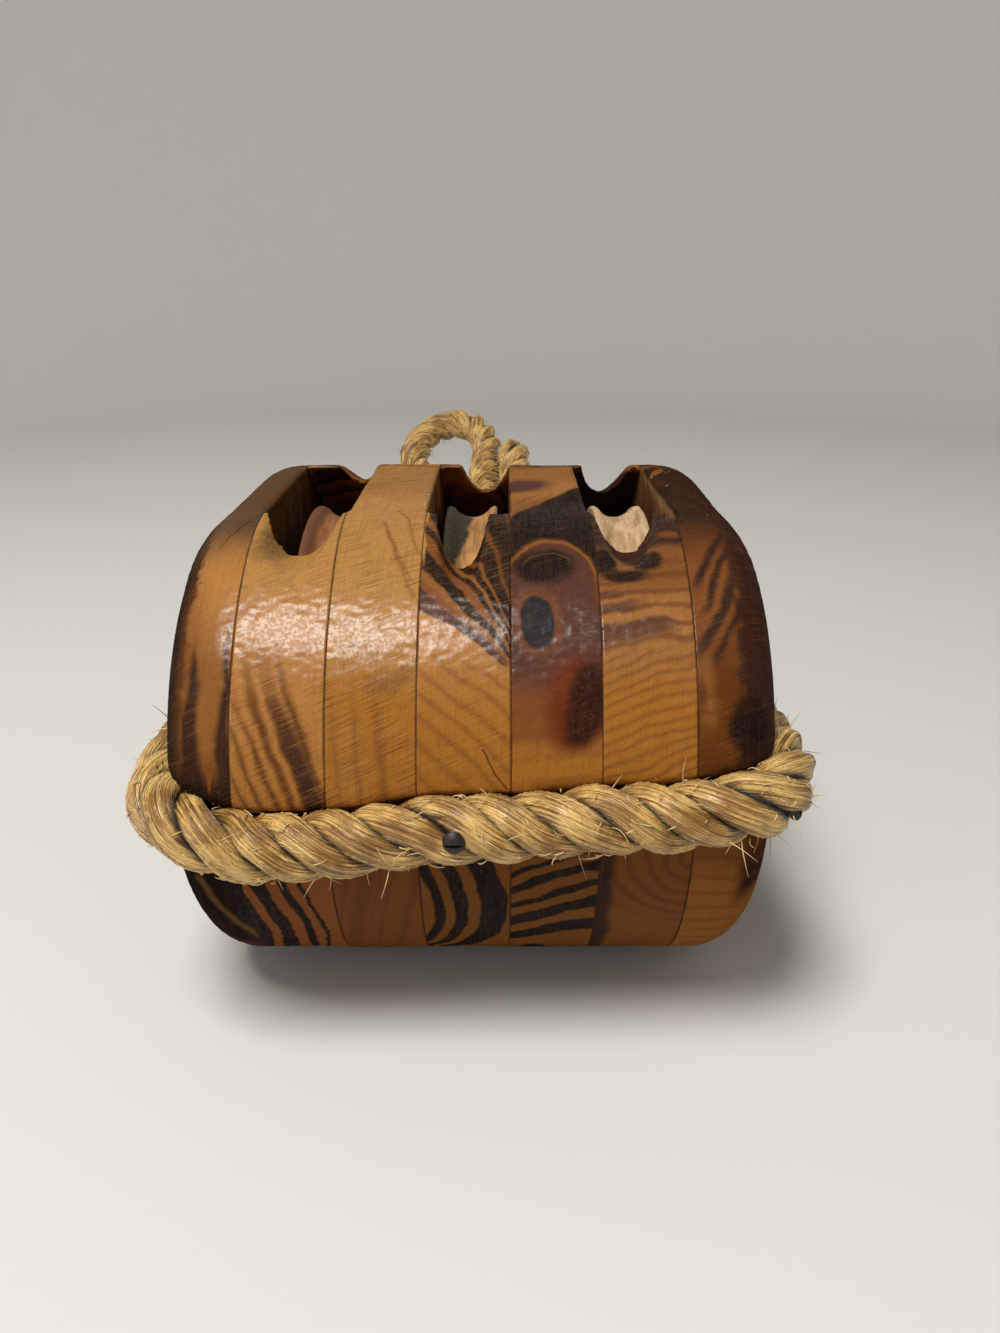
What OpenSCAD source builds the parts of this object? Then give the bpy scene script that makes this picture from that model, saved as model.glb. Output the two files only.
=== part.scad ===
// Triple sheave block: three wooden sheaves on one pin, in a shell glued up from seven boards,
// held by one rope strop that lies in a score round the shell and ends in an eye at the crown.
// X runs along the sheave pin, +Y from the tail to the crown, +Z up. The origin is the middle of the pin.

/* [Shell] */
// Length of the shell from tail to crown
shell_len = 162; // [156:1:176]
// Height of the shell across its two flat faces
shell_h = 113; // [108:1:118]
// Thickness of each board that holds a sheave
slot_w = 19.5; // [17.5:0.5:24]
// Thickness of each board between two sheaves
partition_t = 18.8; // [12:0.1:24]
// Thickness of the left cheek board
left_cheek_t = 16.5; // [15:0.5:24]
// Thickness of the right cheek board
right_cheek_t = 19; // [15:0.5:24]
// Radius that rounds the outer edge of both cheeks
cheek_round = 14; // [8:0.5:14.5]

/* [Swallows] */
// Gap between a sheave's rim and the board round it, where the rope runs
swallow_gap = 12.8; // [10:0.2:13.6]
// Radius of the gouge that hollows each tail lip, from left to right
tail_scoop_radii = [8, 6.2, 7];
// Depth of the three tail lips below the flat face, from left to right
tail_scoop_depths = [7.6, 9.6, 7];
// How far each tail lip lies to the right of its board's middle
tail_scoop_shifts = [0, -1.6, -1.6];
// Radius of the gouge that hollows each crown lip
crown_scoop_r = 8; // [6:0.25:8.5]
// Depth of the three crown lips below the flat face, from left to right
crown_scoop_depths = [6.8, 10, 10];
// How far each crown lip lies to the right of its board's middle
crown_scoop_shifts = [4.5, 3, 0];
// Slope of the tail lips, falling outwards, in degrees
tail_scoop_slope = 3; // [0:1:12]
// Slope of the crown lips, falling outwards, in degrees
crown_scoop_slope = 12; // [0:1:15]

/* [Sheaves] */
// Diameter of each sheave across its rim
sheave_d = 100; // [96:0.5:102]
// Thickness of each sheave
sheave_t = 13.5; // [12:0.5:15]
// How far each sheave has slid to the right along the pin, as a share of its play, from left to right
sheave_slips = [0.9, 0, 0.2];
// Width of the rope groove at the rim
groove_w = 10.4; // [8:0.2:11.2]
// Depth of the rope groove
groove_depth = 3; // [2:0.5:5]
// Diameter of the sheave pin
pin_d = 12; // [8:0.5:18]
// Radial clearance of a sheave on the pin
pin_clearance = 0.05; // [0.02:0.01:0.1]
// Depth that each end of the pin goes into its cheek
pin_seat = 8; // [5:0.5:10]

/* [Strop] */
// Diameter of the strop's rope
rope_d = 14; // [12:0.5:15]
// How far the rope's centre lies outside the shell
strop_stand = 2; // [1:0.25:3]
// Height of the strop above the pin
strop_rise = 3.5; // [0:0.5:6]
// Clearance between the rope and its score
score_clearance = 0.3; // [0.2:0.05:0.5]
// Bend radius of the rope where its two legs leave the crown
throat_r = 12; // [11:0.5:16]
// Offset of the two legs from the middle of the block, to the right
leg_offset = 6.6; // [0:0.2:10]
// Gap between the two legs
leg_gap = 0.6; // [0.4:0.1:1.5]

/* [Seizing] */
// Diameter of the seizing twine
twine_d = 2.5; // [2:0.1:3]
// Turns of twine round the two legs
seizing_turns = 7; // [4:1:10]
// Clear gap between one turn of twine and the next
turn_gap = 0.6; // [0.5:0.1:1]
// Clearance between the twine and the rope
twine_clearance = 0.15; // [0.1:0.05:0.3]
// Distance from the throat bend to the first turn
seizing_start = 3; // [2:0.5:10]

/* [Screws] */
// Diameter of a screw's shank
shank_d = 2.6; // [2:0.2:3.4]
// Diameter of a screw's head
head_d = 5; // [4.4:0.2:7]
// Height of a screw's domed head
head_h = 1.5; // [1:0.1:2]
// Length of a screw under its head
screw_len = 22; // [19:0.5:22.5]
// How deep a head is sunk into the rope
head_sink = 1.1; // [0.8:0.1:2]
// Clearance round a screw in the rope
screw_clearance = 0.2; // [0.1:0.05:0.4]
// Place of the tail screw, to the right of the middle
tail_screw_x = -1.9; // [-5:0.1:5]
// How far the corner screw leans up round the rope, in degrees
corner_screw_lean = 38; // [0:1:45]

/* [Hidden] */
$fn = 96;
past = 1;
end_r = shell_h / 2;
end_y = shell_len / 2;
flat_half = end_y - end_r;
pitch = slot_w + partition_t;
inner_half = 1.5 * slot_w + partition_t;
pocket_r = sheave_d / 2 + swallow_gap;
scoop_y = sqrt(pow(pocket_r, 2) - pow(end_r - max(crown_scoop_depths), 2));
bore_r = pin_d / 2 + pin_clearance;
groove_r = (pow(groove_w / 2, 2) + pow(groove_depth, 2)) / (2 * groove_depth);
land_r = (sheave_t - groove_w) / 4;
rope_r = rope_d / 2;
score_r = rope_r + score_clearance;
bend_r = cheek_round + strop_stand;
left_bend_x = -(inner_half + left_cheek_t - cheek_round);
right_bend_x = inner_half + right_cheek_t - cheek_round;
bend_y = end_y - cheek_round;
run_y = end_y + strop_stand;
leg_half = (rope_d + leg_gap) / 2;
twine_r = twine_d / 2;
turn_pitch = twine_d + turn_gap;
seizing_y = run_y + throat_r + seizing_start + twine_r;

// Places that the eye's rope passes, from the right leg round to the left leg. Each is measured
// from the middle of the two legs, from the crown end of the shell and from the strop's height.
eye_route = [
    [leg_half, 89, 0], [leg_half, 117, -1], [5.5, 132, -3], [-0.5, 143, -4.5], [-10.5, 148, -4],
    [-22.5, 148.5, -1.5], [-33.5, 151, 2.5], [-40.5, 158, 8.5], [-42.5, 169, 16], [-38.5, 181, 23],
    [-29.5, 189, 27.5], [-18.5, 190, 28.5], [-9.5, 182, 25], [-5.6, 169, 19.5], [-6.6, 154, 13.5],
    [-7.1, 134, 7.5], [-leg_half, 109, 3], [-leg_half, 69, 0.5],
];

// Vectors and the sweep of a round tube along a list of points
function unit(v) = v / norm(v);
function square_to(v, along) = unit(v - (v * along) * along);
function tangent(pts, i, closed) =
    let (last = len(pts) - 1, before = closed ? (i + last) % (last + 1) : max(i - 1, 0))
    let (after = closed ? (i + 1) % (last + 1) : min(i + 1, last))
    unit(pts[after] - pts[before]);
function carried(pts, first, closed) = [
    for (i = 0, side = square_to(first, tangent(pts, 0, closed)); i < len(pts);
         i = i + 1, side = i < len(pts) ? square_to(side, tangent(pts, i, closed)) : side)
        side
];
function turn_about(v, axis, angle) = v * cos(angle) + cross(axis, v) * sin(angle);
function ring(centre, axis, side, r, sides, turn) = [
    for (k = [0 : sides - 1]) centre + r * turn_about(side, axis, 360 * k / sides + turn)
];

module tube(pts, r, sides, closed, first = [0, 0, 1]) {
    n = len(pts);
    side = carried(pts, first, closed);
    start = tangent(pts, 0, closed);
    back = square_to(side[n - 1], start);
    slip = closed ? atan2(cross(back, side[0]) * start, back * side[0]) : 0;
    points = [
        for (i = [0 : n - 1])
            each ring(pts[i], tangent(pts, i, closed), side[i], r, sides, slip * i / n)
    ];
    quads = [
        for (i = [0 : closed ? n - 1 : n - 2], k = [0 : sides - 1])
            let (a = i * sides, b = ((i + 1) % n) * sides, next = (k + 1) % sides)
            [a + k, a + next, b + next, b + k]
    ];
    walls = [for (q = quads) each [[q[2], q[1], q[0]], [q[3], q[2], q[0]]]];
    tip = (n - 1) * sides;
    caps = closed ? [] : [
        for (k = [1 : sides - 2]) each [[0, k, k + 1], [tip, tip + k + 1, tip + k]]
    ];
    polyhedron(points = points, faces = concat(walls, caps));
}

// Outline of the shell seen along the pin, and a board cut to it
module shell_outline() {
    square([2 * flat_half, shell_h], center = true);
    for (end = [-1, 1])
        translate([end * flat_half, 0])
            circle(end_r);
}

module across(x) {
    translate([x, 0, 0])
        rotate([90, 0, 90])
            children();
}

module board(x, thickness) {
    across(x - thickness / 2)
        linear_extrude(thickness)
            shell_outline();
}

// Hole for the pin through everything from one x to another
module pin_hole(from, to) {
    across(from)
        cylinder(h = to - from, d = pin_d);
}

// The score that the strop lies in: its runs across tail and crown, its corners and its sides
module score_run(end) {
    translate([left_bend_x, end * run_y, strop_rise])
        rotate([0, 90, 0])
            cylinder(h = right_bend_x - left_bend_x, r = score_r);
}

module score_corner(x, end, turn) {
    translate([x, end * bend_y, strop_rise])
        rotate([0, 0, turn])
            rotate_extrude(angle = 90)
                translate([bend_r, 0])
                    circle(score_r);
}

module score_side(x) {
    translate([x, -bend_y, strop_rise])
        rotate([-90, 0, 0])
            cylinder(h = 2 * bend_y, r = score_r);
}

// A cheek board lies on the block's side: flat outside, its outer edge well rounded
module cheek_edge(thickness) {
    square([end_r, thickness - cheek_round]);
    square([end_r - cheek_round, thickness]);
    translate([end_r - cheek_round, thickness - cheek_round])
        intersection() {
            circle(cheek_round);
            square(cheek_round);
        }
}

module cheek_blank(thickness) {
    for (end = [-1, 1])
        translate([end * flat_half, 0, 0])
            rotate([0, 0, -90 * end])
                rotate_extrude(angle = 180)
                    cheek_edge(thickness);
    rotate([90, 0, 90])
        linear_extrude(2 * flat_half, center = true)
            for (half = [0, 1])
                mirror([half, 0])
                    cheek_edge(thickness);
}

module left_cheek() {
    color("#a9703a")
        difference() {
            across(-inner_half)
                mirror([0, 0, 1])
                    cheek_blank(left_cheek_t);
            pin_hole(-inner_half - pin_seat - past / 2, 0);
            score_run(-1);
            score_run(1);
            score_corner(left_bend_x, -1, 180);
            score_corner(left_bend_x, 1, 90);
            score_side(left_bend_x - bend_r);
        }
}

module right_cheek() {
    color("#94602f")
        difference() {
            across(inner_half)
                cheek_blank(right_cheek_t);
            pin_hole(0, inner_half + pin_seat + past / 2);
            score_run(-1);
            score_run(1);
            score_corner(right_bend_x, -1, 270);
            score_corner(right_bend_x, 1, 0);
            score_side(right_bend_x + bend_r);
            at_corner()
                screw_hole();
        }
}

module partition(side) {
    difference() {
        board(side * pitch / 2, partition_t);
        pin_hole(side * pitch / 2 - partition_t, side * pitch / 2 + partition_t);
        score_run(-1);
        score_run(1);
    }
}

module left_partition() {
    color("#d6ad6e") partition(-1);
}

module right_partition() {
    color("#8c5a34") partition(1);
}

// A gouged lip on the crown's upper side, its floor this deep below the flat face at the pocket
module scoop(r, depth, slope) {
    translate([0, scoop_y, end_r - depth + r])
        rotate([-90 - slope, 0, 0])
            cylinder(h = 2 * scoop_y, r = r, center = true);
}

// The crown half of a sheave's board, round the sheave's pocket and with its two gouged lips
module filler_blank(x, shift, r, depth, slope) {
    difference() {
        intersection() {
            board(x, slot_w);
            translate([x - slot_w, 0, -end_r - past])
                cube([2 * slot_w, end_y + past, shell_h + 2 * past]);
        }
        across(x - slot_w)
            cylinder(h = 2 * slot_w, r = pocket_r);
        translate([x + shift, 0, 0])
            for (face = [0, 1])
                mirror([0, 0, face])
                    scoop(r, depth, slope);
    }
}

module tail_filler(side) {
    difference() {
        mirror([0, 1, 0])
            filler_blank(side * pitch, tail_scoop_shifts[side + 1], tail_scoop_radii[side + 1],
                         tail_scoop_depths[side + 1], tail_scoop_slope);
        score_run(-1);
        at_tail()
            screw_hole();
    }
}

module crown_filler(side) {
    difference() {
        filler_blank(side * pitch, crown_scoop_shifts[side + 1], crown_scoop_r,
                     crown_scoop_depths[side + 1], crown_scoop_slope);
        score_run(1);
    }
}

module tail_filler_left() {
    color("#c08a4b") tail_filler(-1);
}

module tail_filler_centre() {
    color("#b98a55") tail_filler(0);
}

module tail_filler_right() {
    color("#b07a3a") tail_filler(1);
}

module crown_filler_left() {
    color("#a5713c") crown_filler(-1);
}

module crown_filler_centre() {
    color("#9a6a3c") crown_filler(0);
}

module crown_filler_right() {
    color("#8a5c34") crown_filler(1);
}

// A turned wooden sheave: a shallow rope groove between two rounded lands
module sheave(side) {
    rim = sheave_d / 2;
    play = (slot_w - sheave_t) / 2;
    across(side * pitch + sheave_slips[side + 1] * play)
        rotate_extrude()
            difference() {
                union() {
                    translate([bore_r, -sheave_t / 2])
                        square([rim - land_r - bore_r, sheave_t]);
                    translate([bore_r, land_r - sheave_t / 2])
                        square([rim - bore_r, sheave_t - 2 * land_r]);
                    for (edge = [-1, 1])
                        translate([rim - land_r, edge * (sheave_t / 2 - land_r)])
                            circle(land_r);
                }
                translate([rim - groove_depth + groove_r, 0])
                    circle(groove_r);
            }
}

module sheave_left() {
    color("#a8683e") sheave(-1);
}

module sheave_centre() {
    color("#8f8468") sheave(0);
}

module sheave_right() {
    color("#d8c19a") sheave(1);
}

module sheave_pin() {
    color("#8f9194")
        across(-inner_half - pin_seat)
            cylinder(h = 2 * (inner_half + pin_seat), d = pin_d);
}

// The strop is one endless rope. Seen from above it runs along the tail, the right side and the
// crown, out along the right leg, round the eye, back along the left leg and round the left side.
function arc(x, y, r, from, to) = [
    for (step = [0 : 5])
        let (angle = from + (to - from) * step / 5)
        [x + r * cos(angle), y + r * sin(angle), strop_rise]
];
function eased(pts, i, t) =
    let (a = pts[i - 1], b = pts[i], c = pts[i + 1], d = pts[i + 2])
    b + (t * (c - a) + t * t * (2 * a - 5 * b + 4 * c - d) + t * t * t * (3 * b - a - 3 * c + d)) / 2;

leg_y = run_y + throat_r;
eye_points = [for (p = eye_route) [leg_offset, end_y, strop_rise] + p];
eye_ends = concat(
    [[leg_offset + leg_half, leg_y, strop_rise]], eye_points, [[leg_offset - leg_half, leg_y, strop_rise]]
);
eye_curve = [for (i = [1 : len(eye_ends) - 3], t = [0, 0.5]) eased(eye_ends, i, t)];
strop_route = concat(
    arc(left_bend_x, -bend_y, bend_r, 180, 270),
    arc(right_bend_x, -bend_y, bend_r, 270, 360),
    arc(right_bend_x, bend_y, bend_r, 0, 90),
    arc(leg_offset + leg_half + throat_r, leg_y, throat_r, 270, 180),
    eye_curve,
    [eye_points[len(eye_points) - 1]],
    arc(leg_offset - leg_half - throat_r, leg_y, throat_r, 0, -90),
    arc(left_bend_x, bend_y, bend_r, 90, 180)
);

module strop() {
    color("#c9a86a")
        difference() {
            tube(strop_route, rope_r, 12, true);
            at_tail()
                head_recess();
            at_corner()
                head_recess();
        }
}

// Twine wound round the two legs at the throat, as one unbroken tube of turns
seizing_r = rope_r + twine_clearance + twine_r;
turn_steps = 24;
function seizing_point(step) =
    let (angle = 360 * (step + 0.5) / turn_steps)
    let (side = cos(angle) > 0 ? leg_half : -leg_half)
    [
        leg_offset + side + seizing_r * cos(angle),
        seizing_y + turn_pitch * step / turn_steps,
        strop_rise + seizing_r * sin(angle)
    ];
seizing_loops = [for (step = [0 : turn_steps * seizing_turns - 1]) seizing_point(step)];
seizing_last = len(seizing_loops) - 1;
seizing_route = concat(
    [seizing_loops[0] + twine_d * unit(seizing_loops[0] - seizing_loops[1])],
    seizing_loops,
    [seizing_loops[seizing_last] + twine_d * unit(seizing_loops[seizing_last] - seizing_loops[seizing_last - 1])]
);
seizing_gap = min([
    for (i = [0 : seizing_last - turn_steps / 2], j = [i + turn_steps / 2 : seizing_last])
        norm(seizing_loops[i] - seizing_loops[j])
]) - twine_d;

module throat_seizing() {
    echo(least_gap_between_turns = seizing_gap);
    color("#b99a5e") tube(seizing_route, twine_r, 6, false, [0, 1, 0]);
}

// A round-head wood screw, its head's seat at the local origin and its shank running down -Z
module screw() {
    dome_r = (pow(head_d / 2, 2) + pow(head_h, 2)) / (2 * head_h);
    tip = 3;
    difference() {
        intersection() {
            translate([0, 0, head_h - dome_r])
                sphere(dome_r);
            cylinder(h = head_h, d = head_d);
        }
        translate([-head_d, -0.4, head_h * 0.45])
            cube([2 * head_d, 0.8, head_h]);
    }
    translate([0, 0, tip - screw_len])
        cylinder(h = screw_len - tip, d = shank_d);
    translate([0, 0, -screw_len])
        cylinder(h = tip, d1 = shank_d / 4, d2 = shank_d);
}

module screw_hole() {
    translate([0, 0, -screw_len])
        cylinder(h = screw_len, d = shank_d);
}

module head_recess() {
    cylinder(h = rope_r, r = head_d / 2 + screw_clearance);
    translate([0, 0, -screw_len])
        cylinder(h = screw_len, r = shank_d / 2 + screw_clearance);
}

module at_tail() {
    translate([tail_screw_x, -run_y - rope_r + head_sink, strop_rise])
        rotate([90, 0, 0])
            children();
}

// The screw at the tail's right corner leans up round the rope, halfway round the bend
module at_corner() {
    translate([right_bend_x, -bend_y, strop_rise])
        rotate([0, 0, -45])
            translate([bend_r, 0, 0])
                rotate([0, 90 - corner_screw_lean, 0])
                    translate([0, 0, rope_r - head_sink])
                        children();
}

module tail_screw() {
    color("#2e2a26") at_tail() screw();
}

module corner_screw() {
    color("#2e2a26") at_corner() screw();
}

left_cheek();
left_partition();
right_partition();
right_cheek();
tail_filler_left();
tail_filler_centre();
tail_filler_right();
crown_filler_left();
crown_filler_centre();
crown_filler_right();
sheave_left();
sheave_centre();
sheave_right();
sheave_pin();
strop();
throat_seizing();
tail_screw();
corner_screw();
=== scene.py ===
import math
import random

import bmesh
import bpy
import numpy as np
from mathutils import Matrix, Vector, noise


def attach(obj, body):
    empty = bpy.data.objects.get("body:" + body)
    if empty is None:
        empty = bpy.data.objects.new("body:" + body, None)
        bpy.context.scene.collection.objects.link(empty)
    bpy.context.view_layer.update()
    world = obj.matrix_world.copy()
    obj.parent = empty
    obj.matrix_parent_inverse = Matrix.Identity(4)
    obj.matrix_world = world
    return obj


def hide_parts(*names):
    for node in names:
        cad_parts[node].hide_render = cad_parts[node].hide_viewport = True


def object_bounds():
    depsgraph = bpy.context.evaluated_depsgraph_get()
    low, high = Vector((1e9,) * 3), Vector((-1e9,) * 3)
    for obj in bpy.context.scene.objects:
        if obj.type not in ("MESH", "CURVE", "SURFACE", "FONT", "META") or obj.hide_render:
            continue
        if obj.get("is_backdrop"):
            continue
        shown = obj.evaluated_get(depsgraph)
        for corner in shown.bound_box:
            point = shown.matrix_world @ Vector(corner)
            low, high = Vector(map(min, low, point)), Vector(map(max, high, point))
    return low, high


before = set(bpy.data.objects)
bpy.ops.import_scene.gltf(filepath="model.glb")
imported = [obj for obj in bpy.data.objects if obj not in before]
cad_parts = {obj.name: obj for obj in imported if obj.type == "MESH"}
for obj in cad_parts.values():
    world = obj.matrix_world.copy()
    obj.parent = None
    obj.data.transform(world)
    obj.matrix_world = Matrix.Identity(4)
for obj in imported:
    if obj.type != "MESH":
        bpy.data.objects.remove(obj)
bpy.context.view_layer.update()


# The stage: one pale sweep of paper that lies under the block's flat belly and rises all round it, a
# large soft lamp high in front and to the left, and a weak one low on the left. The camera stands 26 cm
# in front of the pin and 11 cm above it, and looks 22 degrees down.
BELLY_Z = -0.0565
CAMERA_PLACE, CAMERA_LENS, CAMERA_DIP = (0.00745, -0.261, 0.1115), 27.03, 22.1
PAPER_FLAT, PAPER_BEND, PAPER_TOP = 0.95, 0.45, 0.95

scene = bpy.context.scene
scene.view_settings.view_transform = "Standard"


def shown(name, data):
    """An object in the scene that is made of this data."""
    made = bpy.data.objects.new(name, data)
    scene.collection.objects.link(made)
    return made


def new_piece(name, vertices, faces, smooth=True):
    """A mesh object from its corners and faces, shaded smooth unless told otherwise."""
    mesh = bpy.data.meshes.new(name)
    mesh.from_pydata([tuple(v) for v in vertices], [], [tuple(f) for f in faces])
    mesh.shade_smooth() if smooth else mesh.shade_flat()
    return shown(name, mesh)


camera = scene.camera = shown("camera", bpy.data.cameras.new("camera"))
camera.data.lens, camera.data.sensor_width, camera.data.clip_start = CAMERA_LENS, 36, 0.01
camera.location = CAMERA_PLACE
camera.rotation_euler = (math.radians(90 - CAMERA_DIP), 0, 0)


def lathed(profile, steps, place):
    """Corners and faces of a line of (radius, height) spots turned full circle. place says where a
    (radius, height, angle) spot lies."""
    size = len(profile)
    corners = [place(radius, height, 2 * math.pi * i / steps)
               for i in range(steps) for radius, height in profile]
    faces = [(i * size + k, (i + 1) % steps * size + k, (i + 1) % steps * size + k + 1, i * size + k + 1)
             for i in range(steps) for k in range(size - 1)]
    return corners, faces


class Shade:
    """A number on its way through a material's nodes, so that shader maths reads as Python."""

    def __init__(self, tree, socket):
        self.tree, self.socket = tree, socket

    def math(self, operation, *others):
        node = self.tree.nodes.new("ShaderNodeMath")
        node.operation = operation
        for slot, value in zip(node.inputs, (self, *others)):
            feed(self.tree, slot, value)
        return Shade(self.tree, node.outputs[0])

    def __add__(self, other): return self.math("ADD", other)
    __radd__ = __add__
    def __mul__(self, other): return self.math("MULTIPLY", other)
    __rmul__ = __mul__
    def __sub__(self, other): return self.math("SUBTRACT", other)
    def __rsub__(self, other): return (self * -1) + other
    def __truediv__(self, other): return self.math("DIVIDE", other)
    def __pow__(self, other): return self.math("POWER", other)
    def __neg__(self): return self * -1
    def __abs__(self): return self.math("ABSOLUTE")


def feed(tree, slot, value):
    """Links a socket to a node's input, or sets the input to a plain value."""
    if isinstance(value, Shade):
        tree.links.new(value.socket, slot)
    elif value is not None:
        if hasattr(slot.default_value, "__len__") and len(slot.default_value) == 4 and len(value) == 3:
            value = (*value, 1)
        slot.default_value = value


class Finish:
    """A material being made up: every node but the number maths comes from node()."""

    def __init__(self, name, world=None):
        owner = world or bpy.data.materials.new(name)
        owner.use_nodes = True
        self.owner, self.tree = owner, owner.node_tree
        self.tree.nodes.clear()

    def node(self, kind, settings=None, sockets=None, out=0):
        made = self.tree.nodes.new("ShaderNode" + kind)
        for key, value in (settings or {}).items():
            setattr(made, key, value)
        for key, value in (sockets or {}).items():
            feed(self.tree, made.inputs[key], value)
        return Shade(self.tree, made.outputs[out]) if made.outputs else None

    def mixed(self, factor, first, second):
        """Two colours mixed by a factor."""
        return self.node("Mix", {"data_type": "RGBA"}, {0: factor, 6: first, 7: second}, out=2)

    def vector(self, operation, *inputs, out=0):
        return self.node("VectorMath", {"operation": operation}, dict(enumerate(inputs)), out)

    def grain(self, at, scale, detail=3, roughness=0.5):
        """Noise between 0 and 1. scale is its features per metre, as one number or one for each axis."""
        if isinstance(scale, tuple):
            at, scale = self.vector("MULTIPLY", at, scale), 1.0
        return self.node("TexNoise", None, {"Vector": at, "Scale": scale, "Detail": detail,
                                            "Roughness": roughness})

    def ramp(self, value, start, end):
        """Rises smoothly from 0 at start to 1 at end, which may be the smaller of the two."""
        return self.node("MapRange", {"interpolation_type": "SMOOTHSTEP"}, {0: value, 1: start, 2: end})

    def surface(self, colour, roughness, **others):
        shader = self.node("BsdfPrincipled", None, {"Base Color": colour, "Roughness": roughness, **others})
        self.node("OutputMaterial", None, {"Surface": shader})
        return self.owner


room = Finish("room", bpy.data.worlds.new("room"))
scene.world = room.owner
daylight = room.node("Background", None, {"Color": (1, 0.99, 0.97), "Strength": 0.22})
room.node("OutputWorld", None, {"Surface": daylight})


def soft_lamp(name, place, size, watts, tint=(1, 1, 1)):
    """A square soft lamp that points at the block's middle."""
    lamp = shown(name, bpy.data.lights.new(name, "AREA"))
    lamp.data.size, lamp.data.energy, lamp.data.color = size, watts, tint
    lamp.location = place
    lamp.rotation_euler = (-Vector(place)).to_track_quat("-Z", "Y").to_euler()


soft_lamp("lamp_high", (-0.22, -0.42, 1.0), 0.36, 12.0, (1, 0.98, 0.94))
soft_lamp("lamp_low", (-0.75, -0.55, 0.25), 0.40, 1.0)

bend = [(PAPER_FLAT + PAPER_BEND * math.sin(a), BELLY_Z + PAPER_BEND * (1 - math.cos(a)))
        for a in np.linspace(0, math.pi / 2, 24)]
sweep = new_piece("paper_sweep", *lathed(
    [(0.0001, BELLY_Z), (0.3, BELLY_Z), *bend, (PAPER_FLAT + PAPER_BEND, PAPER_TOP)], 128,
    lambda radius, height, angle: (radius * math.cos(angle), radius * math.sin(angle), height)))
paper = Finish("paper")
sweep.data.materials.append(paper.surface((0.70, 0.69, 0.66), 0.9))
sweep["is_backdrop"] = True


# The strop's route: one 14 mm rope lies in a score round the shell, goes out along two legs at the crown
# and makes an eye. The route follows the solid's; being soft, the rope sags a few millimetres at the
# tail's left, rides up at the right corner, and its right leg humps up before it passes under the left.
MM = 0.001
ROPE_R, ROPE_Z = 0.007, 0.0035
BEND_R, BEND_Y, BEND_LEFT, BEND_RIGHT = 0.016, 0.067, -0.05055, 0.05305
RUN_Y, THROAT_R, LEG_X, LEG_HALF, SHELL_END = 0.083, 0.012, 0.0066, 0.0073, 0.081
# Millimetres from the middle of the shell's crown end, out along the right leg, round the eye and back
EYE_ROUTE = [
    (7.3, 74, 0.5), (7.8, 107, 6.5), (7.9, 127, 16), (7.4, 141, 22), (6.6, 152, 15), (3.4, 156, 4),
    (-3.6, 154, -2.5), (-11.6, 150.5, -4.3), (-22.5, 148.5, -1.5), (-33.5, 151, 2.5), (-40.5, 158, 8.5),
    (-42.5, 169, 16), (-38.5, 181, 23), (-29.5, 189, 27.5), (-18.5, 190, 28.5), (-9.5, 182, 25),
    (-5.6, 169, 19.5), (-6.6, 154, 13.5), (-7.1, 134, 7.5), (-7.3, 109, 3), (-7.3, 69, 0.5),
]
# Where along the pin the rope at the tail lies how many millimetres higher than its score
TAIL_SAG = [(-0.062, -0.6), (-0.054, -2.6), (-0.045, -4.8), (-0.033, -4.6), (-0.023, -3.6), (-0.008, -0.6),
            (0.015, 0.2), (0.029, 2.0), (0.041, 2.2), (0.048, 3.1), (0.056, 4.4), (0.066, 4.8)]
LEFT_SIDE, LEFT_RISE, LEFT_FROM, LEFT_FADE = -0.058, 0.0018, -0.080, 0.018


def arc(x, y, r, start, end):
    """Points on a level arc at the rope's height."""
    turns = np.radians(np.linspace(start, end, 16))
    return [(x + r * math.cos(a), y + r * math.sin(a), ROPE_Z) for a in turns]


def eased(points, steps):
    """A smooth curve through points, without its first and last stretch."""
    curve = []
    points = [np.array(p) for p in points]
    for a, b, c, d in zip(points, points[1:], points[2:], points[3:]):
        for t in np.linspace(0, 1, steps, endpoint=False):
            curve.append(b + (t * (c - a) + t * t * (2 * a - 5 * b + 4 * c - d)
                              + t ** 3 * (3 * b - a - 3 * c + d)) / 2)
    return curve


def evenly(points, spacing, closed):
    """The same line with its points an even distance apart."""
    points = np.array(points, float)
    if closed:
        points = np.vstack([points, points[:1]])
    along = np.concatenate([[0], np.cumsum(np.linalg.norm(np.diff(points, axis=0), axis=1))])
    count = max(3, round(along[-1] / spacing))
    places = np.linspace(0, along[-1], count + 1)[: count if closed else None]
    return np.stack([np.interp(places, along, points[:, k]) for k in range(3)], axis=1)


def sagged(points):
    """Lowers or lifts the rope near the tail as TAIL_SAG says, fading out along both sides, with a small
    rise along the left one."""
    points = np.array(points, float)
    dip = np.interp(points[:, 0], [x for x, _ in TAIL_SAG], [z * MM for _, z in TAIL_SAG])
    fade = np.clip(-points[:, 1] / BEND_Y, 0, 1)
    left = (points[:, 0] < LEFT_SIDE) * np.clip((points[:, 1] - LEFT_FROM) / LEFT_FADE, 0, 1)
    dip = dip * (1 - left) + LEFT_RISE * left
    points[:, 2] += dip * fade * fade * (3 - 2 * fade)
    return points


def softened(points, rounds):
    """A closed line with its kinks eased out."""
    for _ in range(rounds):
        points = (np.roll(points, 1, 0) + 2 * points + np.roll(points, -1, 0)) / 4
    return points


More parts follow.
